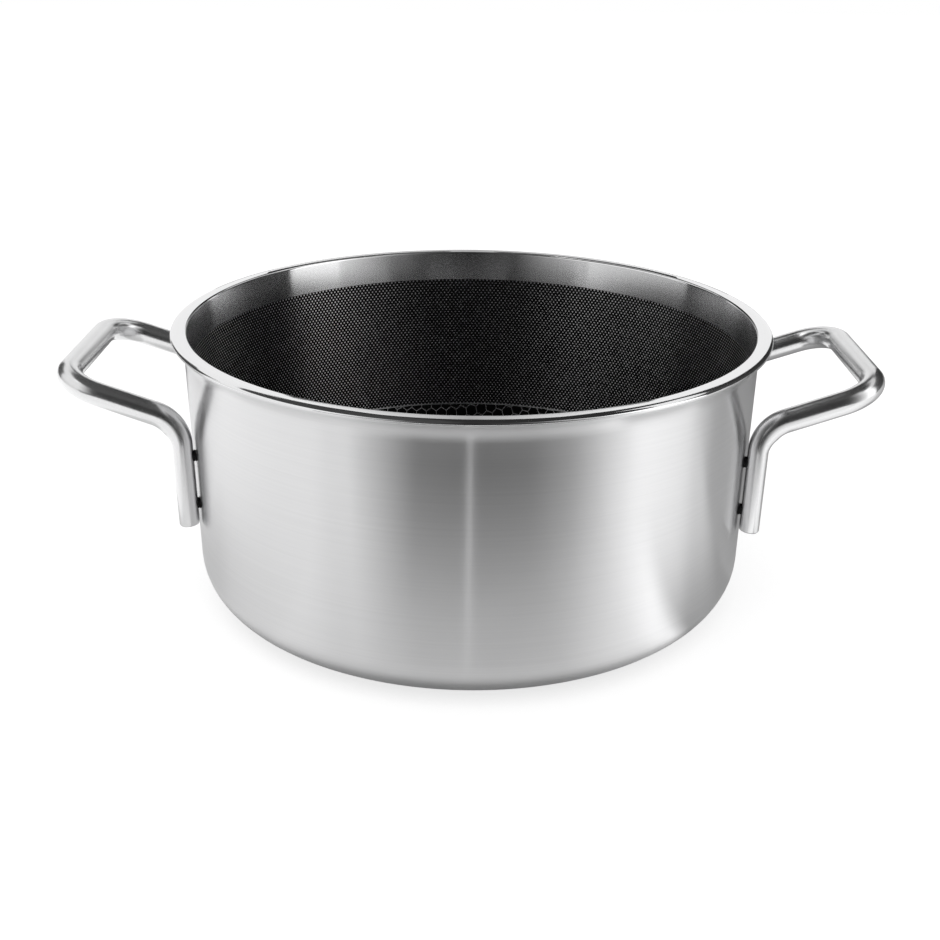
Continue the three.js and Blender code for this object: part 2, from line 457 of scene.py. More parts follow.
SATIN_STEEL = TurnedSteel("satin steel", (0.78, 0.78, 0.785), roughness=(0.26, 0.34))
BAND_STEEL = TurnedSteel(
    "polished band steel",
    (0.78, 0.78, 0.785),
    roughness=(0.15, 0.2),
    line_depth=0.001 * MM,
)
DOT_STEEL = TurnedSteel("raised dot steel", (0.92, 0.92, 0.925), roughness=(0.34, 0.42))
LINE_STEEL = TurnedSteel("raised line steel", (0.9, 0.9, 0.905), roughness=(0.4, 0.5))
LIP_STEEL = TurnedSteel(
    "polished lip steel",
    (0.82, 0.82, 0.825),
    roughness=(0.05, 0.11),
    anisotropy=0.5,
    lines_per_metre=1500.0,
    line_depth=0.0006 * MM,
    darkest=0.97,
)
ROD_STEEL = RodSteel("handle rod steel", (0.77, 0.77, 0.775), roughness=(0.19, 0.27))
BLACK_COAT = DarkCoat("black non-stick coat", (0.004, 0.004, 0.004), specular=0.1)
WELD_OXIDE = DarkCoat(
    "dark weld oxide",
    (0.02, 0.02, 0.021),
    roughness=(0.5, 0.7),
    grains_per_metre=1500.0,
    grain_depth=0.06 * MM,
    metallic=0.5,
)
CORE_ALUMINIUM = RodSteel("core aluminium", (0.8, 0.81, 0.82), roughness=(0.38, 0.5))


def finish_piece(
    name: str,
    mesh: bmesh.types.BMesh,
    finish: Finish,
    replaces: tuple[str, ...] = (),
    crease: float = 40.0,
) -> bpy.types.Object:
    """Turns a finished bmesh into a piece of the pot.

    Args:
        name: the piece's name.
        mesh: its shape, in place. It is freed.
        finish: its finish.
        replaces: CAD nodes that it stands for.
        crease: degrees past which an edge stays sharp.

    Returns:
        The piece's object.
    """
    data = mesh_data(name, mesh)
    data.shade_smooth()
    data.set_sharp_from_angle(angle=math.radians(crease))
    data.materials.append(finish.material())
    piece = add_object(name, data)
    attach(piece, BODY)
    if replaces:
        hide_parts(*replaces)
    log.info("%s: %d faces", name, len(data.polygons))
    return piece


class SectionPen:
    """Draws a section in the plane of X and Z, stretch by stretch, and turns it about Z."""

    def __init__(self, radius: float, height: float) -> None:
        """Starts at a radius and a height."""
        self.mesh = bmesh.new()
        self.first = self.mesh.verts.new((radius, 0.0, height))
        self.tip = self.first

    def line(self, radius: float, height: float) -> None:
        """Draws a straight stretch to a radius and a height."""
        grown = bmesh.ops.extrude_vert_indiv(self.mesh, verts=[self.tip])
        self.tip = grown["verts"][0]
        self.tip.co = (radius, 0.0, height)

    def arc(self, centre: Vector, angle: float, steps: int) -> None:
        """Draws a round stretch.

        Args:
            centre: radius and height of its centre.
            angle: its angle in radians, from the radius towards the height.
            steps: its number of facets.
        """
        swept = bmesh.ops.spin(
            self.mesh,
            geom=[self.tip],
            cent=(centre.x, 0.0, centre.y),
            axis=SECTION_NORMAL,
            angle=angle,
            steps=steps,
        )
        self.tip = only(swept["geom_last"], bmesh.types.BMVert)[0]

    def turn(self, steps: int, closed: bool) -> bmesh.types.BMesh:
        """Turns the section into a body.

        Args:
            steps: number of facets round the body.
            closed: True for a ring, whose last point joins its first. Otherwise both lie on the
                axis.

        Returns:
            The closed body.
        """
        if closed:
            self.mesh.edges.new((self.tip, self.first))
        bmesh.ops.spin(
            self.mesh,
            geom=self.mesh.verts[:] + self.mesh.edges[:],
            axis=UP,
            angle=math.tau,
            steps=steps,
            use_merge=True,
        )
        bmesh.ops.remove_doubles(self.mesh, verts=self.mesh.verts[:], dist=MERGE)
        bmesh.ops.recalc_face_normals(self.mesh, faces=self.mesh.faces[:])
        return self.mesh


@dataclass(frozen=True)
class BowlSection:
    """Section of the bowl's clad sheet, in metres."""

    lip_radius: float
    height: float
    coat_top: float
    rim_overhang: float = 5.1 * MM
    taper: float = math.radians(0.94)
    corner_radius: float = 20.5 * MM
    bend_radius: float = 0.5 * MM
    sheet: float = 2.5 * MM

    @classmethod
    def from_frame(cls) -> "BowlSection":
        """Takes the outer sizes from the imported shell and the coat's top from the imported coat."""
        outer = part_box("outer_shell")[1]
        return cls(lip_radius=outer.x, height=outer.z, coat_top=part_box("nonstick_coat")[1].z)

    @property
    def wall_top(self) -> Vector:
        """Radius and height of the outer wall's top, where the lip's bend starts."""
        rise = self.bend_radius * math.sin(self.taper)
        return Vector((self.lip_radius - self.rim_overhang, self.bend_centre_height + rise))

    @property
    def bend_centre_height(self) -> float:
        """Height of the centre of the lip's bend."""
        return self.height - self.sheet - self.bend_radius

    @property
    def corner_turn(self) -> float:
        """Angle of the base corner, from the base to the wall."""
        return math.pi / 2 - self.taper

    @property
    def corner_centre(self) -> Vector:
        """Radius and height of the centre of the base corner."""
        inward = self.corner_radius / math.cos(self.taper)
        return Vector((self.wall_radius(self.corner_radius) - inward, self.corner_radius))

    def wall_radius(self, height: float, depth: float = 0.0) -> float:
        """Radius of the straight wall.

        Args:
            height: height above the base.
            depth: how far inside the outer surface.

        Returns:
            The radius.
        """
        top = self.wall_top
        return top.x - (top.y - height) * math.tan(self.taper) - depth / math.cos(self.taper)

    def wall_frame(self, height: float, depth: float) -> Matrix:
        """Place on the wall at Y 0.

        Args:
            height: height above the base.
            depth: how far inside the outer surface.

        Returns:
            A matrix whose Z points out of the inner wall and whose X runs up it.
        """
        lean = Matrix.Rotation(self.taper - math.radians(90.0), 4, "Y")
        return Matrix.Translation((self.wall_radius(height, depth), 0.0, height)) @ lean


@dataclass
class Bowl:
    """Satin shell, polished lip and black coat of the bowl."""

    section: BowlSection
    skin: float = 0.6 * MM
    bond: float = 0.05 * MM
    coat: float = 0.25 * MM
    flare_radius: float = 10.0 * MM
    inner_bend: float = 1.2 * MM
    band_lean: float = math.radians(1.0)
    band_turn: float = math.radians(5.0)
    shading_lift: float = math.radians(4.5)
    crown_radius: float = 5.0 * MM
    crown_turn: float = math.radians(28.0)
    facets: int = 256
    corner_steps: int = 14
    bend_steps: int = 8
    edge_steps: int = 12

    @property
    def edge_radius(self) -> float:
        """Radius of the lip's edge, between its crown and its underside."""
        lean = math.cos(self.crown_turn)
        return (self.section.sheet - self.crown_radius * (1.0 - lean)) / (1.0 + lean)

    @property
    def edge(self) -> Vector:
        """Radius and height of the centre of the lip's edge."""
        section = self.section
        height = section.height - section.sheet + self.edge_radius
        return Vector((section.lip_radius - self.edge_radius, height))

    @property
    def foot_lean(self) -> float:
        """Angle between the bare band's foot and the axis."""
        return self.section.taper + self.band_lean

    @property
    def head_lean(self) -> float:
        """Angle between the bare band's head and the axis."""
        return self.foot_lean + self.band_turn

    @property
    def band_foot(self) -> Vector:
        """Radius and height of the bare band's foot, at the coat's top."""
        section = self.section
        return Vector((section.wall_radius(section.coat_top, section.sheet), section.coat_top))

    @property
    def bend_foot(self) -> Vector:
        """Radius and height where the band's curve ends and the tighter bend to the lip starts."""
        drop = self.inner_bend * (1.0 - math.sin(self.head_lean))
        height = self.section.height - drop
        rise = height - self.band_foot.y
        mean_lean = self.foot_lean + self.band_turn / 2
        return Vector((self.band_foot.x + rise * math.tan(mean_lean), height))

    @property
    def bend_centre(self) -> Vector:
        """Radius and height of the centre of the bend from the band to the lip."""
        return self.bend_foot + square_to(self.head_lean) * self.inner_bend

    @property
    def band_centre(self) -> Vector:
        """Radius and height of the centre of the band's curve."""
        chord = (self.bend_foot - self.band_foot).length
        radius = chord / (2 * math.sin(self.band_turn / 2))
        return self.band_foot + square_to(self.foot_lean) * radius

    def _draw_floor(self, pen: SectionPen, depth: float) -> None:
        """Draws the floor and the base corner from the axis, at a depth inside the surface."""
        centre = self.section.corner_centre
        pen.line(centre.x, depth)
        pen.arc(centre, self.section.corner_turn, self.corner_steps)

    def _draw_floor_back(self, pen: SectionPen, depth: float) -> None:
        """Draws the base corner and the floor back to the axis, at a depth inside the surface."""
        section = self.section
        centre = section.corner_centre
        start = centre + square_to(section.taper) * (section.corner_radius - depth)
        pen.line(start.x, start.y)
        pen.arc(centre, -section.corner_turn, self.corner_steps)
        pen.line(0.0, depth)

    def _layer(self, near: float, far: float) -> bmesh.types.BMesh:
        """Draws a layer of the sheet, from the floor up to the coat's top.

        Args:
            near: depth of its outer face inside the outer surface.
            far: depth of its inner face.

        Returns:
            The closed layer.
        """
        section = self.section
        pen = SectionPen(0.0, near)
        self._draw_floor(pen, near)
        pen.line(section.wall_radius(section.coat_top, near), section.coat_top)
        pen.line(section.wall_radius(section.coat_top, far), section.coat_top)
        self._draw_floor_back(pen, far)
        return pen.turn(self.facets, closed=False)

    def build_shell(self) -> bpy.types.Object:
        """Builds the satin wall and base, flared under the lip.

        Returns:
            The piece.
        """
        section = self.section
        underside = section.height - section.sheet
        flare = section.rim_overhang - self.edge_radius
        turn = math.acos(1.0 - flare / self.flare_radius)
        start_height = underside - self.flare_radius * math.sin(turn)
        start = Vector((section.wall_radius(start_height), start_height))
        pen = SectionPen(0.0, 0.0)
        self._draw_floor(pen, 0.0)
        pen.line(start.x, start.y)
        pen.arc(start + square_to(section.taper) * self.flare_radius, -turn, self.bend_steps)
        pen.arc(self.edge, math.pi / 2, self.edge_steps)
        pen.line(self.bend_centre.x, self.edge.y)
        pen.line(section.wall_radius(start_height, self.skin), start_height)
        self._draw_floor_back(pen, self.skin)
        mesh = pen.turn(self.facets, closed=False)
        return finish_piece("bowl_outside", mesh, SATIN_STEEL, ("outer_shell",))

    def build_lip(self) -> bpy.types.Object:
        """Builds the polished lip, crowned towards its edge.

        Returns:
            The piece.
        """
        section = self.section
        inward = (self.crown_radius - self.edge_radius) * math.sin(self.crown_turn)
        crown = Vector((self.edge.x - inward, section.height - self.crown_radius))
        bend_turn = math.pi / 2 - self.head_lean
        pen = SectionPen(self.bend_foot.x, self.bend_foot.y)
        pen.line(section.lip_radius, self.edge.y)
        pen.arc(self.edge, math.pi / 2 - self.crown_turn, self.edge_steps)
        pen.arc(crown, self.crown_turn, self.bend_steps)
        pen.line(self.bend_centre.x, section.height)
        pen.arc(self.bend_centre, bend_turn, self.bend_steps)
        mesh = pen.turn(self.facets, closed=True)
        return finish_piece("polished_lip", mesh, LIP_STEEL, ("inner_liner",))

    def build_band(self) -> bpy.types.Object:
        """Builds the bare band inside, which curves out from the coat up to the lip's bend.

        Returns:
            The piece.
        """
        foot, head = self.band_foot, self.bend_foot
        pen = SectionPen(foot.x + self.coat, foot.y)
        pen.line(head.x + self.coat, head.y)
        pen.line(head.x, head.y)
        pen.arc(self.band_centre, self.band_turn, self.bend_steps)
        mesh = pen.turn(self.facets, closed=True)
        piece = finish_piece("bare_band", mesh, BAND_STEEL)
        self._lift_shading(piece.data)
        return piece

    def _lift_shading(self, band: bpy.types.Mesh) -> None:
        """Turns the band's shading normals up from its faces, which brings out its light patches.

        Args:
            band: the band's mesh.
        """
        foot, head = self.band_foot.y, self.bend_foot.y
        normals = []
        for vertex in band.vertices:
            inward = Vector((-vertex.co.x, -vertex.co.y, 0.0)).normalized()
            share = (vertex.co.z - foot) / (head - foot)
            lean = self.foot_lean + self.shading_lift + share * self.band_turn
            normals.append(inward * math.cos(lean) + UP * math.sin(lean))
        band.normals_split_custom_set_from_vertices(normals)

    def build_coat(self) -> bpy.types.Object:
        """Builds the black coat inside.

        Returns:
            The piece.
        """
        mesh = self._layer(self.section.sheet - self.coat, self.section.sheet)
        return finish_piece("black_coat", mesh, BLACK_COAT, ("nonstick_coat",))

    def build_core(self) -> bpy.types.Object:
        """Builds the sheet's hidden core, up to the bare band.

        Returns:
            The piece.
        """
        mesh = self._layer(self.skin + self.bond, self.section.sheet - self.skin - self.bond)
        return finish_piece("sheet_core", mesh, CORE_ALUMINIUM, ("heat_core",))

    def build(self) -> None:
        """Builds the five pieces."""
        self.build_shell()
        self.build_lip()
        self.build_band()
        self.build_coat()
        self.build_core()


@dataclass
class DotField:
    """Fine raised steel dots in staggered rows on the inner wall."""

    section: BowlSection
    bottom: float = 38.4 * MM
    around: int = 392
    row_pitch: float = 1.29 * MM
    foot_diameter: float = 0.94 * MM
    top_diameter: float = 0.84 * MM
    relief: float = 0.08 * MM
    sunk: float = 0.03 * MM
    margin: float = 0.6 * MM
    sides: int = 6
    quarters: int = 4

    @property
    def span(self) -> float:
        """Height from the lowest row to the highest."""
        return self.section.coat_top - self.bottom - 2 * self.margin

    @property
    def gaps(self) -> int:
        """Number of gaps between the rows."""
        return round(self.span / self.row_pitch)

    def _column(self, first_row: int) -> bmesh.types.BMesh:
        """Builds every second dot of one column.

        Args:
            first_row: 0 for the column's lowest dot, or 1 for the next.

        Returns:
            The dots, at Y 0.
        """
        section = self.section
        dots = bmesh.new()
        step = self.span / self.gaps
        start = self.bottom + self.margin + first_row * step
        place = section.wall_frame(start, section.sheet)
        lift = Matrix.Translation((0.0, 0.0, self.relief / 2 - self.sunk))
        bmesh.ops.create_cone(
            dots,
            cap_ends=True,
            segments=self.sides,
            radius1=self.foot_diameter / 2,
            radius2=self.top_diameter / 2,
            depth=self.relief,
            matrix=place @ lift,
        )
        bmesh.ops.spin(
            dots,
            geom=dots.faces[:],
            axis=UP,
            dvec=(2 * step * math.tan(section.taper), 0.0, 2 * step),
            steps=(self.gaps - first_row) // 2,
            use_duplicate=True,
        )
        return dots

    def build_quarter(self, quarter: int) -> bpy.types.Object:
        """Builds a quarter of the field.

        Args:
            quarter: which quarter, from 0.

        Returns:
            The piece.
        """
        pitch = math.tau / self.around
        columns = self.around // self.quarters
        field = bmesh.new()
        for first_row in (0, 1):
            dots = self._column(first_row)
            angle = quarter * math.tau / self.quarters + first_row * pitch / 2
            bmesh.ops.rotate(dots, verts=dots.verts[:], matrix=Matrix.Rotation(angle, 3, "Z"))
            bmesh.ops.spin(
                dots,
                geom=dots.faces[:],
                axis=UP,
                angle=(columns - 1) * pitch,
                steps=columns - 1,
                use_duplicate=True,
            )
            part = mesh_data("dots", dots)
            field.from_mesh(part)
            bpy.data.meshes.remove(part)
        bmesh.ops.recalc_face_normals(field, faces=field.faces[:])
        name = f"wall_dots_{quarter + 1}"
        return finish_piece(name, field, DOT_STEEL, crease=20.0)

    def build(self) -> None:
        """Builds all the quarters."""
        for quarter in range(self.quarters):
            self.build_quarter(quarter)


@dataclass
class Honeycomb:
    """Raised steel honeycomb on the floor, the corner and the foot of the wall, inside its ring."""

    section: BowlSection
    top: float = 38.4 * MM
    pitch: float = 6.5 * MM
    line_width: float = 0.46 * MM
    ring_width: float = 0.6 * MM
    relief: float = 0.12 * MM
    sunk: float = 0.05 * MM
    turned: float = math.radians(9.0)
    cuts: int = 120
    facets: int = 256
    spare_columns: int = 2
    spare_rows: int = 1
    join_share: float = 0.1

    @property
    def inner_corner(self) -> float:
        """Radius of the base corner on the inner surface."""
        return self.section.corner_radius - self.section.sheet

    @property
    def floor_radius(self) -> float:
        """Radius of the flat floor."""
        return self.section.corner_centre.x

    @property
    def corner_length(self) -> float:
        """Length of the base corner's arc on the inner surface."""
        return self.inner_corner * self.section.corner_turn

    @property
    def blank_radius(self) -> float:
        """Radius of the flat blank that reaches up to the ring."""
        section = self.section
        corner_top = section.corner_centre.y - self.inner_corner * math.sin(section.taper)
        wall = (self.top - corner_top) / math.cos(section.taper)
        return self.floor_radius + self.corner_length + wall

    def _grid(self) -> bmesh.types.BMesh:
        """Builds a flat sheet of whole cells that covers the blank.

        Returns:
            The sheet, round the origin.
        """
        cells = bmesh.new()
        corner = self.pitch / math.sqrt(3.0)
        bmesh.ops.create_circle(cells, cap_ends=True, segments=6, radius=corner)
        row_step = 1.5 * corner
        across = 2 * (math.ceil(self.blank_radius / self.pitch) + self.spare_columns)
        up = 2 * (math.ceil(self.blank_radius / (2 * row_step)) + self.spare_rows)
        self._repeat(cells, Vector((self.pitch, 0.0, 0.0)), across)
        copy = bmesh.ops.duplicate(cells, geom=cells.faces[:])
        shifted = only(copy["geom"], bmesh.types.BMVert)
        bmesh.ops.translate(cells, verts=shifted, vec=(self.pitch / 2, row_step, 0.0))
        self._repeat(cells, Vector((0.0, 2 * row_step, 0.0)), up)
        middle = Vector((across * self.pitch / 2, up * row_step, 0.0))
        bmesh.ops.translate(cells, verts=cells.verts[:], vec=-middle)
        bmesh.ops.remove_doubles(cells, verts=cells.verts[:], dist=corner * self.join_share)
        return cells

    @staticmethod
    def _repeat(cells: bmesh.types.BMesh, step: Vector, copies: int) -> None:
        """Repeats all the cells in a row of copies, each a step further."""
        bmesh.ops.spin(
            cells, geom=cells.faces[:], axis=UP, dvec=step, steps=copies, use_duplicate=True
        )

    def _laid(self, point: Vector) -> Vector:
        """Lays a point of the blank into the bowl.

        Args:
            point: a point on the flat blank, or above it.

        Returns:
            Its place in the bowl, with the blank sunk into the coat.
        """
        along = point.xy.length
        section = self.section
        depth = section.sheet - self.sunk + point.z
        radius, height = along, depth
        past_floor = along - self.floor_radius
        if past_floor > self.corner_length:
            angle = section.corner_turn
            rise = past_floor - self.corner_length
        else:
            angle = max(past_floor, 0.0) / self.inner_corner
            rise = 0.0
        if past_floor > 0.0:
            centre = section.corner_centre
            reach = section.corner_radius - depth
            radius = centre.x + reach * math.sin(angle) + rise * math.sin(section.taper)
            height = centre.y - reach * math.cos(angle) + rise * math.cos(section.taper)
        spot = point.xy.normalized() * radius
        return Vector((spot.x, spot.y, height))

    def build_net(self) -> bpy.types.Object:
        """Builds the honeycomb's lines.

        Returns:
            The piece.
        """
        net = self._grid()
        bmesh.ops.rotate(net, verts=net.verts[:], matrix=Matrix.Rotation(self.turned, 3, "Z"))
        for cut in range(self.cuts):
            out = Matrix.Rotation(cut * math.tau / self.cuts, 3, "Z") @ Vector((1.0, 0.0, 0.0))
            bmesh.ops.bisect_plane(
                net,
                geom=net.verts[:] + net.edges[:] + net.faces[:],
                plane_co=out * self.blank_radius,
                plane_no=out,
                clear_outer=True,
            )
        cells = net.faces[:]
        half_line = self.line_width / 2
        bmesh.ops.inset_individual(net, faces=cells, thickness=half_line, use_even_offset=True)
        bmesh.ops.delete(net, geom=cells, context="FACES_ONLY")
        grown = bmesh.ops.extrude_face_region(net, geom=net.faces[:])["geom"]
        raised = only(grown, bmesh.types.BMVert)
        bmesh.ops.translate(net, verts=raised, vec=UP * (self.relief + self.sunk))
        for vert in net.verts:
            vert.co = self._laid(vert.co)
        bmesh.ops.recalc_face_normals(net, faces=net.faces[:])
        return finish_piece("floor_honeycomb", net, LINE_STEEL, crease=30.0)

    def build_ring(self) -> bpy.types.Object:
        """Builds the raised ring between the honeycomb and the dots.

        Returns:
            The piece.
        """
        section = self.section
        low, high = self.top - self.ring_width / 2, self.top + self.ring_width / 2
        foot = section.sheet - self.sunk
        face = section.sheet + self.relief
        pen = SectionPen(section.wall_radius(low, foot), low)
        pen.line(section.wall_radius(high, foot), high)
        pen.line(section.wall_radius(high, face), high)
        pen.line(section.wall_radius(low, face), low)
        mesh = pen.turn(self.facets, closed=True)
        return finish_piece("pattern_ring", mesh, LINE_STEEL)

    def build(self) -> None:
        """Builds the lines and their ring."""
        self.build_net()
        self.build_ring()


@dataclass(frozen=True)
class RodCorner:
    """A bend of the rod's axis where two straight runs meet."""

    start: Vector
    centre: Vector
    axis: Vector
    turn: float
    radius: float

    @classmethod
    def between(cls, before: Vector, corner: Vector, after: Vector, radius: float) -> "RodCorner":
        """Fits a bend into a corner.

        Args:
            before: a point on the run that comes in.
            corner: where the two runs would meet.
            after: a point on the run that goes out.
            radius: the bend's radius.

        Returns:
            The bend.
        """
        heading = (corner - before).normalized()
        leaving = (after - corner).normalized()
        turn = heading.angle(leaving)
        axis = heading.cross(leaving).normalized()
        start = corner - heading * radius * math.tan(turn / 2)
        return cls(start, start + axis.cross(heading) * radius, axis, turn, radius)


class BentRod:
    """A round rod, swept from its lower end by straight runs and bends."""

    def __init__(self, start: Vector, heading: Vector, radius: float, sides: int) -> None:
        """Starts the rod with a round cap across its heading."""
        self.mesh = bmesh.new()
        place = Matrix.Translation(start) @ heading.to_track_quat("Z", "X").to_matrix().to_4x4()
        bmesh.ops.create_circle(
            self.mesh, cap_ends=True, segments=sides, radius=radius, matrix=place
        )
        self.cap = self.mesh.faces[:][0]
        self.tip = start

    def run(self, point: Vector) -> None:
        """Sweeps the cap straight to a point of the axis."""
        grown = bmesh.ops.extrude_face_region(self.mesh, geom=[self.cap])["geom"]
        verts = only(grown, bmesh.types.BMVert)
        self.cap = only(grown, bmesh.types.BMFace)[0]
        bmesh.ops.translate(self.mesh, verts=verts, vec=point - self.tip)
        self.tip = point

    def bend(self, corner: RodCorner, steps: int) -> None:
        """Sweeps the cap round a bend that starts at the tip."""
        swept = bmesh.ops.spin(
            self.mesh,
            geom=[self.cap],
            cent=corner.centre,
            axis=corner.axis,
            angle=corner.turn,
            steps=steps,
        )["geom_last"]
        self.cap = only(swept, bmesh.types.BMFace)[0]
        self.tip = self.cap.calc_center_median()


@dataclass
class Handle:
    """One loop handle: a bent rod whose two pressed legs stand on welds just off the wall."""

    section: BowlSection
    side: Side
    rod_diameter: float = 10.0 * MM
    leg_gap: float = 0.7 * MM
    leg_press: float = 1.6 * MM
    leg_spacing: float = 86.0 * MM
    leg_end_drop: float = 79.3 * MM
    arm_root_drop: float = 33.1 * MM
    grip_drop: float = 16.9 * MM
    grip_spacing: float = 84.5 * MM
    grip_projection: float = 39.8 * MM
    foot_bend_radius: float = 14.0 * MM
    grip_bend_radius: float = 16.6 * MM
    end_round: float = 0.7 * MM
    weld_diameter: float = 4.5 * MM
    weld_flare: float = 0.5 * MM
    weld_sunk: float = 0.2 * MM
    weld_root: float = 1.125 * MM
    weld_end_distance: float = 8.7 * MM
    weld_pitch: float = 21.5 * MM
    press_share: float = 0.5
    sides: int = 48
    bend_steps: int = 24
    end_steps: int = 4
    weld_sides: int = 32

    def leg_axes(self, end: End) -> Matrix:
        """Square frame of a leg at its lower end.

        Args:
            end: which leg.

        Returns:
            A matrix at the leg's end, with X out of the wall, Y along the wall and Z up the leg.
        """
        section = self.section
        height = section.height - self.leg_end_drop
        clear = self.leg_gap + self.rod_diameter / 2
        radius = section.wall_radius(height) + clear / math.cos(section.taper)
        offset = end.value * self.leg_spacing / 2
        reach = self.side.value * math.sqrt(radius**2 - offset**2)
        radial = Vector((reach, offset, 0.0)).normalized()
        outward = radial * math.cos(section.taper) - UP * math.sin(section.taper)
        along = UP.cross(radial)
        upward = outward.cross(along)
        frame_axes = Matrix((outward, along, upward)).transposed().to_4x4()
        return Matrix.Translation((reach, offset, height)) @ frame_axes

    def _press_leg(self, rod: BentRod, foot: RodCorner, leg_end: Vector) -> None:
        """Presses the outer side of the leg flatter, and lets the press run out in the foot bend.

        Args:
            rod: half the handle's rod.
            foot: the bend above the leg.
            leg_end: the lower end of the leg's axis.
        """
        heading = (foot.start - leg_end).normalized()
        outward = (foot.centre - foot.start).normalized()
        share = self.leg_press / (self.rod_diameter / 2)
        for vert in rod.mesh.verts:
            from_start = vert.co - foot.start
            if from_start.dot(heading) <= 0.0:
                towards, inside, weight = outward, from_start.dot(outward), 1.0
            else:
                from_centre = vert.co - foot.centre
                flat = from_centre - foot.axis * from_centre.dot(foot.axis)
                angle = math.atan2(flat.dot(heading), -flat.dot(outward))
                towards, inside = -flat.normalized(), foot.radius - flat.length
                weight = 1.0 - angle / (self.press_share * foot.turn)
            if inside > 0.0 and weight > 0.0:
                vert.co -= towards * inside * share * weight

    def build_rod(self) -> bpy.types.Object:
        """Builds the rod as one half, mirrored to the other.

        Returns:
            The piece.
        """
        section = self.section
        axes = self.leg_axes(End.FRONT)
        leg_end = axes.translation
        upward = axes.to_3x3().col[2]
        arm_root = leg_end + upward * (self.leg_end_drop - self.arm_root_drop) / upward.z
        reach = self.side.value * (section.lip_radius + self.grip_projection)
        grip_height = section.height - self.grip_drop
        grip_corner = Vector((reach, -self.grip_spacing / 2, grip_height))
        grip_middle = Vector((reach, 0.0, grip_height))
        foot = RodCorner.between(leg_end, arm_root, grip_corner, self.foot_bend_radius)
        grip = RodCorner.between(arm_root, grip_corner, grip_middle, self.grip_bend_radius)
        rod = BentRod(leg_end, upward, self.rod_diameter / 2, self.sides)
        rod.run(foot.start)
        rod.bend(foot, self.bend_steps)
        rod.run(grip.start)
        rod.bend(grip, self.bend_steps)
        rod.run(grip_middle)
        mesh = rod.mesh
        bmesh.ops.delete(mesh, geom=[rod.cap], context="FACES_ONLY")
        self._press_leg(rod, foot, leg_end)
        lowest = min(mesh.faces, key=lambda face: face.calc_center_median().z)
        bmesh.ops.bevel(
            mesh,
            geom=lowest.edges[:],
            offset=self.end_round,
            segments=self.end_steps,
            profile=0.5,
            affect="EDGES",
            material=-1,
        )
        bmesh.ops.mirror(
            mesh,
            geom=mesh.verts[:] + mesh.edges[:] + mesh.faces[:],
            axis="Y",
            merge_dist=MIRROR_MERGE,
        )
        bmesh.ops.recalc_face_normals(mesh, faces=mesh.faces[:])
        name = self.side.name.lower()
        node = f"handle_{name}"
        return finish_piece(f"rod_{name}", mesh, ROD_STEEL, (node,), crease=50.0)

    def build_weld(self, end: End, level: Level) -> bpy.types.Object:
        """Builds one weld, from inside the wall's skin to inside the rod.

        Args:
            end: which leg it is on.
            level: whether it is the lower or the upper one.

        Returns:
            The piece.
        """
        rise = self.weld_end_distance + (self.weld_pitch if level is Level.UPPER else 0.0)
        waist = self.weld_diameter / 2
        flare = waist + self.weld_flare
        middle = self.leg_gap / 2
        length = self.leg_gap + self.weld_root
        pen = SectionPen(0.0, -self.weld_sunk)
        pen.line(flare, -self.weld_sunk)
        pen.line(waist, middle)
        pen.line(flare, length)
        pen.line(0.0, length)
        mesh = pen.turn(self.weld_sides, closed=False)
        wall = Vector((-self.leg_gap - self.rod_diameter / 2, 0.0, rise))
        outwards = Matrix.Rotation(math.radians(90.0), 4, "Y")
        place = self.leg_axes(end) @ Matrix.Translation(wall) @ outwards
        bmesh.ops.transform(mesh, matrix=place, verts=mesh.verts[:])
        side, leg, height = self.side.name.lower(), end.name.lower(), level.value
        node = f"weld_{side}_{leg}_{height}"
        return finish_piece(f"bead_{side}_{leg}_{height}", mesh, WELD_OXIDE, (node,))

    def build(self) -> None:
        """Builds the rod and its four welds."""
        self.build_rod()
        for end in End:
            for level in Level:
                self.build_weld(end, level)


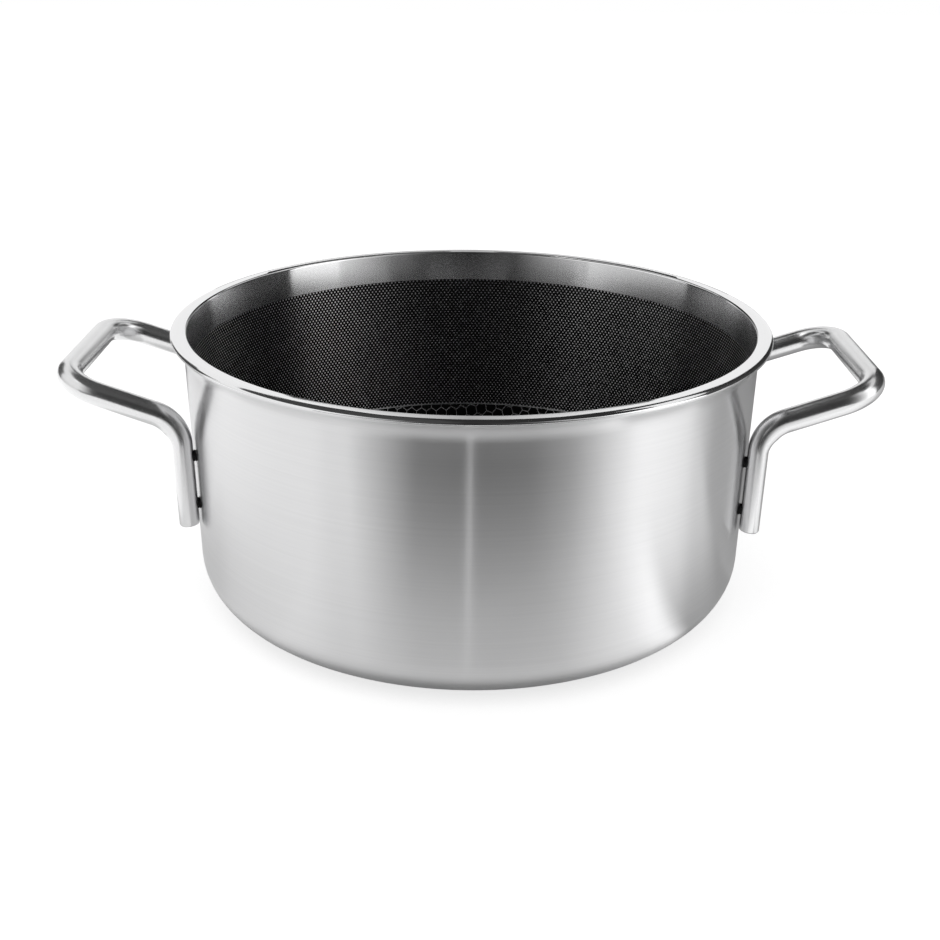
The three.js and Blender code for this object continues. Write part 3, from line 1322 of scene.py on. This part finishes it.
@dataclass(frozen=True)
class Panel:
    """A curved panel of the studio, seen only in reflections.

    It is a patch of a sphere round the pot. Azimuths are in degrees from the camera's side,
    positive to the right, levels are in degrees above the sphere's centre, and the tone runs from
    the first azimuth to the last.
    """

    name: str
    azimuth: tuple[float, float]
    tone: tuple[float, float]
    level: tuple[float, float] = (0.0, 0.0)
    radius: float = 1.6
    centre_height: float = 60.0 * MM
    step: float = 4.0

    def draw_edge(self, patch: bmesh.types.BMesh) -> None:
        """Draws the panel's first edge, as if its azimuth were 0."""
        low, high = (math.radians(angle) for angle in self.level)
        steps = math.ceil((high - low) / math.radians(self.step))
        place = Vector((0.0, -math.cos(low), math.sin(low))) * self.radius
        foot = patch.verts.new(place)
        bmesh.ops.spin(patch, geom=[foot], axis=(-1.0, 0.0, 0.0), angle=high - low, steps=steps)
        bmesh.ops.translate(patch, verts=patch.verts[:], vec=UP * self.centre_height)

    def build(self) -> bpy.types.Object:
        """Bends the panel round the pot.

        Returns:
            The panel.
        """
        first, last = (math.radians(angle) for angle in self.azimuth)
        steps = math.ceil((last - first) / math.radians(self.step))
        patch = bmesh.new()
        glow = patch.verts.layers.float.new("tone")
        self.draw_edge(patch)
        edge = patch.verts[:] + patch.edges[:]
        bmesh.ops.spin(patch, geom=edge, axis=UP, angle=last - first, steps=steps)
        for vert in patch.verts:
            share = math.atan2(vert.co.x, -vert.co.y) % math.tau / (last - first)
            vert[glow] = self.tone[0] + (self.tone[1] - self.tone[0]) * min(share, 1.0)
        bmesh.ops.rotate(patch, verts=patch.verts[:], matrix=Matrix.Rotation(first, 3, "Z"))
        data = mesh_data(self.name, patch)
        data.materials.append(self.glowing())
        panel = add_object(self.name, data)
        panel.visible_camera = False
        panel.visible_shadow = False
        panel.visible_diffuse = False
        return panel

    def glowing(self) -> bpy.types.Material:
        """Makes the panel's material, which glows by the tone of each point.

        Returns:
            The material.
        """
        material = bpy.data.materials.new(self.name)
        material.use_nodes = True
        material.node_tree.nodes.clear()
        wiring = Wiring(material.node_tree)
        tone = wiring.node("ShaderNodeAttribute", attribute_name="tone")
        light = wiring.node("ShaderNodeEmission")
        made = wiring.node("ShaderNodeOutputMaterial")
        wiring.link(tone.outputs["Fac"], light.inputs["Strength"])
        wiring.link(light.outputs[0], made.inputs["Surface"])
        return material


@dataclass(frozen=True)
class LevelPanel(Panel):
    """A level panel on or above the floor, a sector of a ring round the pot's axis."""

    reach: tuple[float, float] = (0.4, 1.7)
    height: float = 1.0 * MM

    def draw_edge(self, patch: bmesh.types.BMesh) -> None:
        """Draws the sector's first edge, as if its azimuth were 0."""
        ends = [patch.verts.new((0.0, -far, self.height)) for far in self.reach]
        patch.edges.new(ends)


FRONT_FAR = {"level": (-3.0, 67.0)}
FRONT_NEAR = {"level": (-13.0, 8.0), "radius": 0.24}
REAR_NEAR = {"level": (12.0, 60.0), "radius": 0.3}
OVER_RIM = {"level": (12.0, 32.0), "radius": 0.17, "centre_height": 100.0 * MM}
FLOOR_NEAR = {"reach": (0.122, 0.24)}
FLOOR_CLOSE = {"reach": (0.122, 0.18)}


@dataclass
class Studio:
    """Pale floor, white surroundings, a soft lamp, dark and bright panels, and the camera."""

    floor_size: float = 8.0
    floor_color: float = 0.4
    floor_glow: float = 0.7
    floor_roughness: float = 0.9
    ambient: float = 0.95
    camera_place: tuple[float, float, float] = (0.0, -548.96 * MM, 279.6 * MM)
    camera_aim: tuple[float, float, float] = (0.0, 0.0, 49.2 * MM)
    camera_roll: float = math.radians(0.68)
    lens: float = 50.36
    sensor: float = 36.0
    clip: tuple[float, float] = (0.01, 50.0)
    lamp_place: tuple[float, float, float] = (-0.3, -0.3, 1.7)
    lamp_size: float = 1.2
    lamp_watts: float = 5.0
    panels: tuple[Panel, ...] = (
        Panel("near_right_rear_flag", (85.0, 150.0), (0.68, 0.1), (-10.5, 8.0), radius=0.3),
        Panel("near_left_fade", (-33.5, -15.0), (1.0, 0.08), **FRONT_NEAR),
        Panel("near_left_flag", (-15.0, -0.3), (0.08, 0.02), **FRONT_NEAR),
        Panel("near_centre_strip", (-0.3, 0.3), (2.3, 2.3), (-13.0, 3.0), radius=0.24),
        Panel("near_centre_flag", (-0.3, 0.3), (0.02, 0.02), (3.0, 8.0), radius=0.24),
        Panel("near_right_flag", (0.3, 16.0), (0.02, 0.06), **FRONT_NEAR),
        Panel("near_right_fade", (16.0, 28.0), (0.06, 0.27), **FRONT_NEAR),
        Panel("near_right_glow", (28.0, 46.0), (0.27, 1.1), **FRONT_NEAR),
        Panel("front_left_fade", (-50.0, -21.0), (1.0, 0.08), **FRONT_FAR),
        Panel("front_left_flag", (-21.0, 0.0), (0.08, 0.02), **FRONT_FAR),
        Panel("front_right_flag", (0.0, 22.0), (0.02, 0.06), **FRONT_FAR),
        Panel("front_right_fade", (22.0, 39.0), (0.06, 0.27), **FRONT_FAR),
        Panel("front_right_glow", (39.0, 63.0), (0.27, 1.1), **FRONT_FAR),
        Panel("left_band_flag", (-54.0, -21.0), (0.2, 0.1), (-3.0, 9.0), radius=1.5),
        Panel("left_low_box", (-108.0, -50.0), (0.8, 0.95), (-3.0, 14.0)),
        Panel("right_softbox", (63.0, 88.5), (1.5, 1.7), (-3.0, 54.0)),
        Panel("right_rear_flag", (88.5, 150.0), (0.08, 0.03), (-3.0, 42.0)),
        Panel("left_rear_flag", (-142.0, -108.0), (0.1, 0.05), (-3.0, 30.0)),
        Panel("near_rear_dim_right", (154.0, 180.0), (1.0, 0.45), **REAR_NEAR),
        Panel("near_rear_dim_left", (180.0, 206.0), (0.45, 1.0), **REAR_NEAR),
        Panel("rear_flag", (150.0, 200.0), (0.03, 0.03), (34.0, 74.0)),
        Panel("front_ceiling", (-50.0, 63.0), (0.03, 0.03), (67.0, 74.0)),
        Panel("right_ceiling", (63.0, 150.0), (0.03, 0.03), (54.0, 74.0)),
        Panel("top_ceiling", (-180.0, 180.0), (0.03, 0.03), (74.0, 90.0)),
        Panel("rear_horizon", (162.0, 198.0), (0.08, 0.08), (-3.0, 5.5)),
        Panel("right_over_rim_flag", (140.0, 176.0), (0.02, 0.02), **OVER_RIM),
        Panel("left_over_rim_flag", (184.0, 220.0), (0.02, 0.02), **OVER_RIM),
        LevelPanel("left_lip_flag", (-150.0, -10.0), (0.06, 0.06), reach=(0.03, 0.32), height=0.39),
        LevelPanel("rear_floor_flag", (135.0, 225.0), (0.08, 0.08), reach=(0.26, 0.6)),
        LevelPanel("rear_far_floor_flag", (162.0, 198.0), (0.08, 0.08), reach=(0.6, 1.7)),
        # The front floor panels are seen only in reflections and stand in for the floor in the pot's
        # shade: painted shade.
        LevelPanel("front_left_floor_fade", (-46.0, -20.0), (0.95, 0.76), **FLOOR_NEAR),
        LevelPanel("front_floor_flag", (-20.0, 20.0), (0.76, 0.76), **FLOOR_NEAR),
        LevelPanel("front_right_floor_fade", (20.0, 40.0), (0.76, 1.0), **FLOOR_NEAR),
        LevelPanel("right_near_floor_glow", (40.0, 50.0), (1.0, 1.5), **FLOOR_CLOSE),
        LevelPanel("right_floor_fade", (42.0, 53.0), (1.0, 1.2), reach=(0.24, 1.2)),
        LevelPanel("right_floor_glow", (53.0, 84.0), (1.3, 1.0), reach=(0.18, 1.2)),
        LevelPanel("right_rear_floor_fade", (50.0, 56.0), (1.5, 0.46), **FLOOR_CLOSE),
        LevelPanel("right_rear_near_floor", (56.0, 84.0), (0.46, 0.36), **FLOOR_CLOSE),
        LevelPanel("right_rear_floor_flag", (84.0, 135.0), (0.5, 0.2), reach=(0.122, 0.3)),
        # The left floor panel next to the pot is darker than the one beyond it: painted shade of the
        # floor round the pot's foot.
        LevelPanel("left_near_floor", (-112.0, -46.0), (0.6, 0.9), reach=(0.122, 0.2)),
        LevelPanel("left_floor_glow", (-112.0, -46.0), (1.3, 1.08), reach=(0.2, 1.2)),
        # A dark ring on the floor round the base's corner, seen only in reflections: painted contact
        # shadow under the pot.
        LevelPanel(
            "contact_flag", (-180.0, 180.0), (0.2, 0.2), reach=(0.1, 0.1215), height=0.3 * MM
        ),
    )

    def build_floor(self) -> bpy.types.Object:
        """Lays the floor, which takes the pot's shadow.

        Returns:
            The floor.
        """
        sheet = bmesh.new()
        bmesh.ops.create_grid(sheet, x_segments=1, y_segments=1, size=self.floor_size / 2)
        data = mesh_data("floor", sheet)
        floor = add_object("floor", data)
        material = bpy.data.materials.new("pale floor")
        material.use_nodes = True
        wiring = Wiring(material.node_tree)
        shader = material.node_tree.nodes["Principled BSDF"]
        shader.inputs["Base Color"].default_value = (self.floor_color,) * 3 + (1.0,)
        shader.inputs["Roughness"].default_value = self.floor_roughness
        shader.inputs["Specular IOR Level"].default_value = 0.0
        shader.inputs["Emission Color"].default_value = WHITE
        glow = wiring.math("MULTIPLY", self._seen(wiring), self.floor_glow)
        wiring.link(glow, shader.inputs["Emission Strength"])
        data.materials.append(material)
        return floor

    @staticmethod
    def _seen(wiring: Wiring) -> bpy.types.NodeSocket:
        """Gives 1 for what the camera, a reflection or a glass sees, and 0 for what only lights."""
        path = wiring.node("ShaderNodeLightPath").outputs
        seen = wiring.math("MAXIMUM", path["Is Camera Ray"], path["Is Glossy Ray"])
        return wiring.math("MAXIMUM", seen, path["Is Transmission Ray"])

    def build_world(self) -> None:
        """Surrounds the pot with plain white."""
        world = bpy.data.worlds.new("white surroundings")
        world.use_nodes = True
        wiring = Wiring(world.node_tree)
        sky = world.node_tree.nodes["Background"]
        sky.inputs["Color"].default_value = WHITE
        strength = wiring.spread(self._seen(wiring), self.ambient, 1.0)
        wiring.link(strength, sky.inputs["Strength"])
        bpy.context.scene.world = world

    def build_camera(self) -> bpy.types.Object:
        """Stands the camera where the photograph was taken.

        Returns:
            The camera.
        """
        data = bpy.data.cameras.new("camera")
        data.lens = self.lens
        data.sensor_width = self.sensor
        data.clip_start, data.clip_end = self.clip
        camera = add_object("camera", data)
        place, aim = Vector(self.camera_place), Vector(self.camera_aim)
        level = (aim - place).to_track_quat("-Z", "Y").to_matrix().to_4x4()
        rolled = level @ Matrix.Rotation(self.camera_roll, 4, "Z")
        camera.matrix_world = Matrix.Translation(place) @ rolled
        bpy.context.scene.camera = camera
        return camera

    def build_lamp(self) -> bpy.types.Object:
        """Hangs a soft square lamp that faces the pot.

        Returns:
            The lamp.
        """
        data = bpy.data.lights.new("key_lamp", "AREA")
        data.size = self.lamp_size
        data.energy = self.lamp_watts
        lamp = add_object("key_lamp", data)
        place = Vector(self.lamp_place)
        facing = (-place).to_track_quat("-Z", "Y").to_matrix().to_4x4()
        lamp.matrix_world = Matrix.Translation(place) @ facing
        lamp.visible_camera = False
        return lamp

    def build(self) -> None:
        """Sets up the studio."""
        self.build_floor()
        self.build_world()
        for panel in self.panels:
            panel.build()
        self.build_lamp()
        self.build_camera()
        bpy.context.scene.view_settings.view_transform = "Standard"


def main() -> None:
    """Builds the studio and the pot, piece by piece."""
    logging.basicConfig(level=logging.INFO, format="%(name)s: %(message)s")
    Studio().build()
    section = BowlSection.from_frame()
    Bowl(section).build()
    DotField(section).build()
    Honeycomb(section).build()
    for side in Side:
        Handle(section, side).build()


if __name__ == "__main__":
    main()
